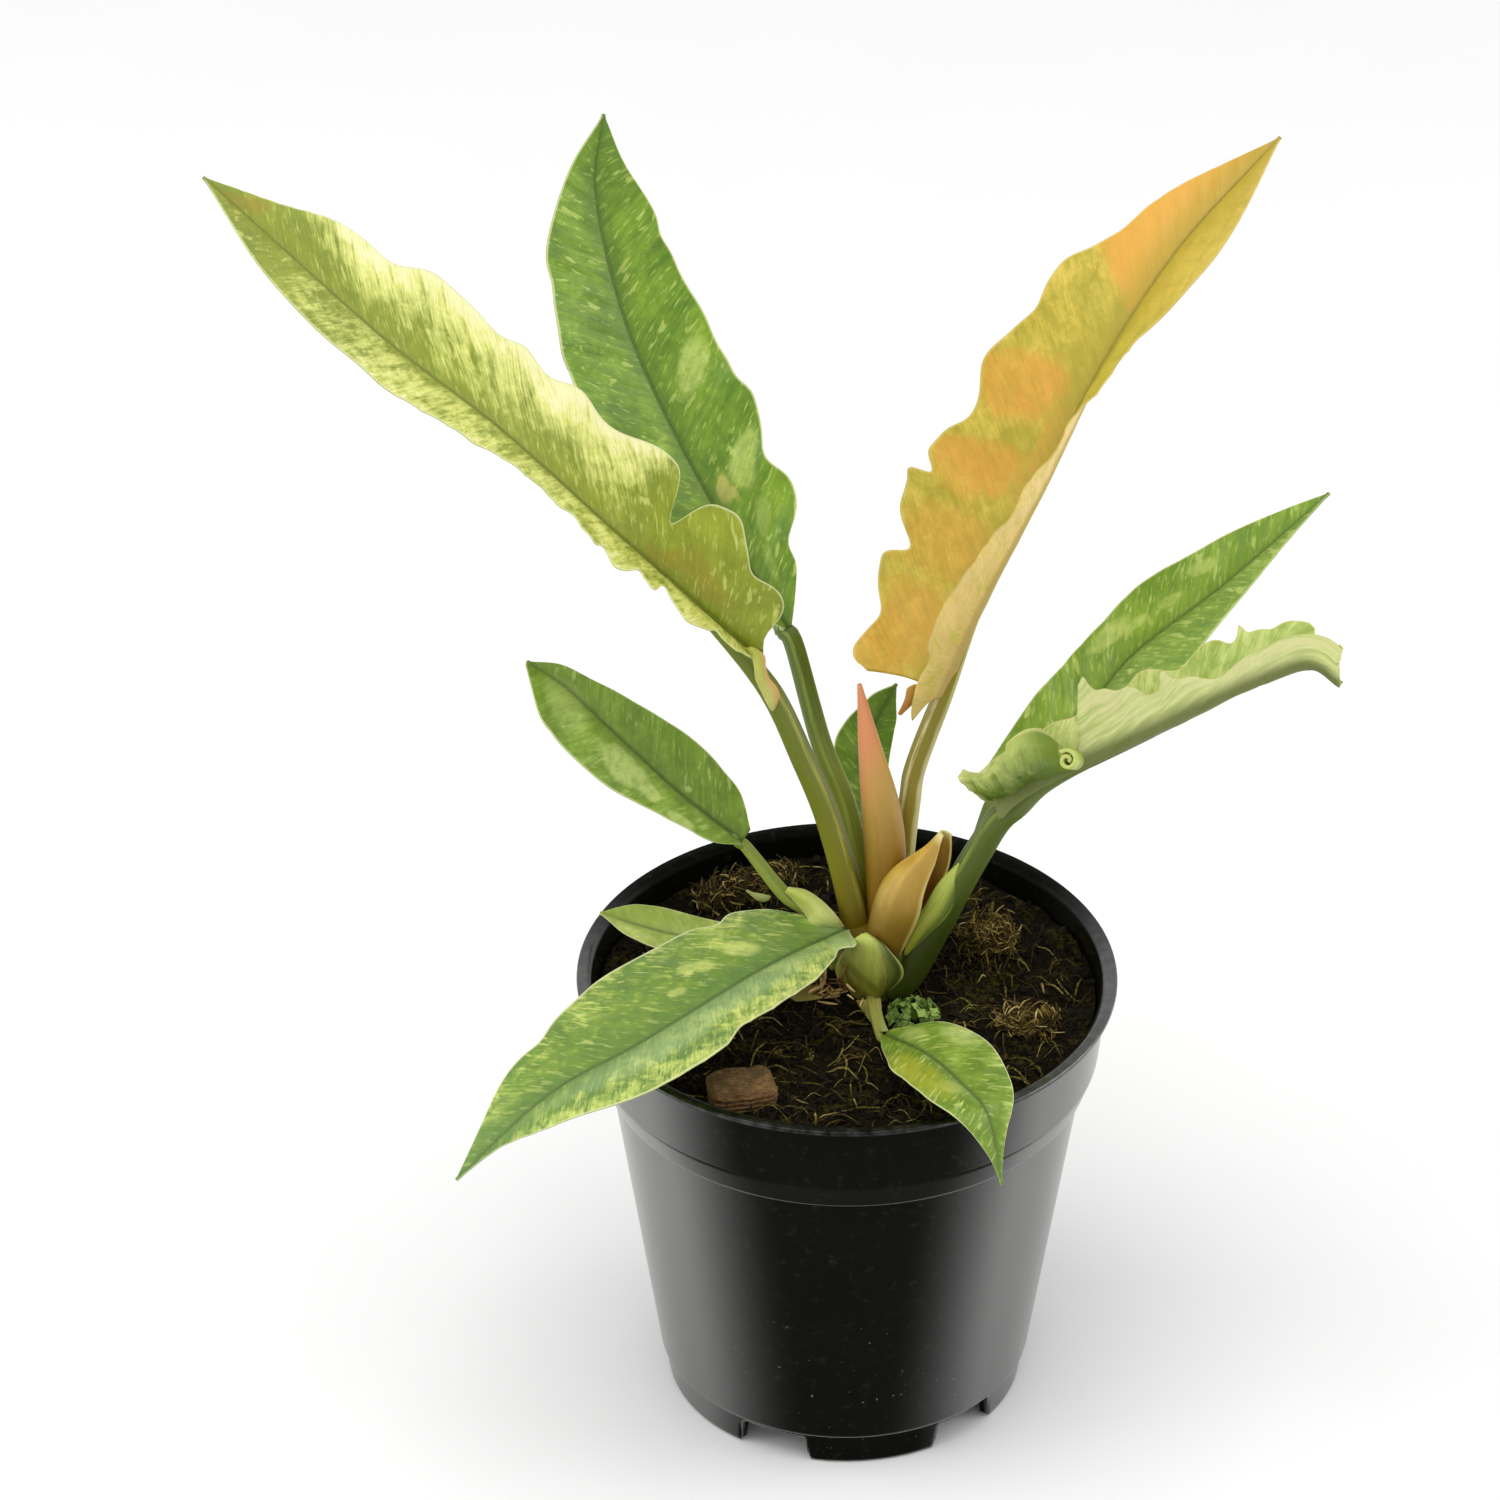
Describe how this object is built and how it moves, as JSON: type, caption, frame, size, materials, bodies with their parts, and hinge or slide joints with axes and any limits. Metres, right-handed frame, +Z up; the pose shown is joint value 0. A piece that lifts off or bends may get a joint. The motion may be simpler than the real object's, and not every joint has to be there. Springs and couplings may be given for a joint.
{
  "type": "potted philodendron plant",
  "caption": "Leafy philodendron with long lobed leaves on stalks round a short stem, growing in a round tapered plastic nursery pot that stands on a notched foot ring.",
  "frame": {"origin": "centre of the whole plant's bounding box, at the underside of the pot's foot ring", "axes": "+Z up; -Y towards the picture's camera, so +X is to the right in the picture"},
  "size_m": [0.2424, 0.1287, 0.3112],
  "materials": {
    "pot_black": "semi-gloss moulded black plastic",
    "soil_brown": "damp peat and coir mix, rough and dark",
    "stem_green": "smooth light yellow-green skin",
    "stalk_green": "smooth olive-green stalk skin",
    "leaf_cream": "waxy leaf, cream and green streaks",
    "leaf_green": "waxy green leaf with pale flecks",
    "leaf_orange": "waxy leaf, orange into yellow-olive",
    "leaf_pale": "waxy pale green leaf underside",
    "leaf_light": "waxy light green leaf with cream streaks",
    "spike_pink": "smooth salmon-pink rolled leaf",
    "sheath_tan": "papery tan-orange sheath",
    "chip_brown": "rough brown coir chip",
    "moss_olive": "fibrous olive-brown moss",
    "weed_green": "small green leaflets"
  },
  "bodies": {
    "root": {"pot": "pot_black", "soil": "soil_brown", "stem": "stem_green", "leaf_left_long": "leaf_cream", "leaf_left_long_stalk": "stalk_green", "leaf_tall_green": "leaf_green", "leaf_tall_green_stalk": "stalk_green", "leaf_orange": "leaf_orange", "leaf_orange_stalk": "stalk_green", "leaf_right_green": "leaf_green", "leaf_right_green_stalk": "stalk_green", "leaf_right_curled": "leaf_pale", "leaf_right_curled_stalk": "stalk_green", "leaf_left_small": "leaf_green", "leaf_left_small_stalk": "stalk_green", "leaf_front_left": "leaf_light", "leaf_front_left_stalk": "stalk_green", "leaf_low_left": "leaf_light", "leaf_low_left_stalk": "stalk_green", "leaf_front_small": "leaf_green", "leaf_front_small_stalk": "stalk_green", "leaf_back_small": "leaf_green", "leaf_back_small_stalk": "stalk_green", "new_leaf_spike": "spike_pink", "sheath_orange": "sheath_tan", "coir_chip": "chip_brown", "weed_tuft": "weed_green", "moss_clump_1": "moss_olive", "moss_clump_2": "moss_olive", "moss_clump_3": "moss_olive"}
  },
  "joints": []
}
